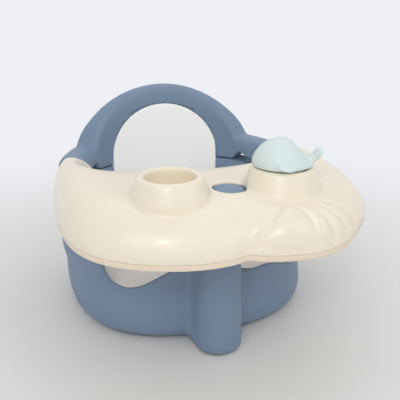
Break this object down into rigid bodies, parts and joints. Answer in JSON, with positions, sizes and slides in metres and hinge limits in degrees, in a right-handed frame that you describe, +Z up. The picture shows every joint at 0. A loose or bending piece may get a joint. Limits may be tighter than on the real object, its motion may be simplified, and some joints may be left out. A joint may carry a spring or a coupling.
{
  "type": "baby bath seat",
  "caption": "Ring-shaped baby bath seat with a round tub-like base, arched backrest, leg openings and a lift-off play tray that carries a spinning whale toy, a cup socket and a scallop relief",
  "frame": {"origin": "on the bath floor, under the middle of the seat's outer box", "axes": "+Z up; the child sits facing -Y, so the tray and the post are at -Y and the backrest at +Y; +X is the child's left side"},
  "size_m": [0.3136, 0.3792, 0.245],
  "materials": {
    "blue_plastic": "satin moulded polypropylene, dusty blue",
    "cream_plastic": "smooth semi-gloss moulded polypropylene, cream",
    "white_foam": "soft closed-cell foam, white, fine matte grain",
    "mint_plastic": "soft matte plastic, pale mint",
    "clear_rubber": "milky soft rubber",
    "steel": "plain stainless steel"
  },
  "bodies": {
    "seat": {"lower_tub": "blue_plastic", "backrest_shell": "blue_plastic", "back_pad": "white_foam", "seat_mat": "white_foam", "suction_cup_front_left": "clear_rubber", "suction_cup_front_right": "clear_rubber", "suction_cup_back_left": "clear_rubber", "suction_cup_back_right": "clear_rubber", "post_head": "blue_plastic", "button_spring": "steel", "backrest_screw_1": "steel", "backrest_screw_2": "steel", "backrest_screw_3": "steel", "backrest_screw_4": "steel", "post_screw_1": "steel", "post_screw_2": "steel"},
    "button": {"release_button": "blue_plastic"},
    "tray": {"tray_top_shell": "cream_plastic", "tray_bottom_shell": "cream_plastic", "tray_screw_1": "steel", "tray_screw_2": "steel", "tray_screw_3": "steel", "tray_screw_4": "steel", "tray_screw_5": "steel", "tray_screw_6": "steel"},
    "turntable": {"toy_turntable": "mint_plastic", "turntable_washer": "steel", "turntable_screw": "steel"},
    "whale": {"whale_body": "mint_plastic", "whale_base": "mint_plastic"}
  },
  "joints": [
    {"name": "button_press", "type": "slide", "parent": "seat", "child": "button", "axis": [0, 0, -1], "range_m": [0, 0.004], "stiffness_N_per_m": 150, "springref_m": -0.004, "deforming": ["button_spring"]},
    {"name": "tray_lift_off", "type": "slide", "parent": "seat", "child": "tray", "axis": [0, 0, 1], "range_m": [0, 0.1]},
    {"name": "toy_spin", "type": "hinge", "parent": "tray", "child": "turntable", "pos_m": [0.055, -0.11835, 0.185], "axis": [0, 0, 1], "continuous": true},
    {"name": "whale_lift_out", "type": "slide", "parent": "turntable", "child": "whale", "axis": [0, 0, 1], "range_m": [0, 0.06]}
  ]
}
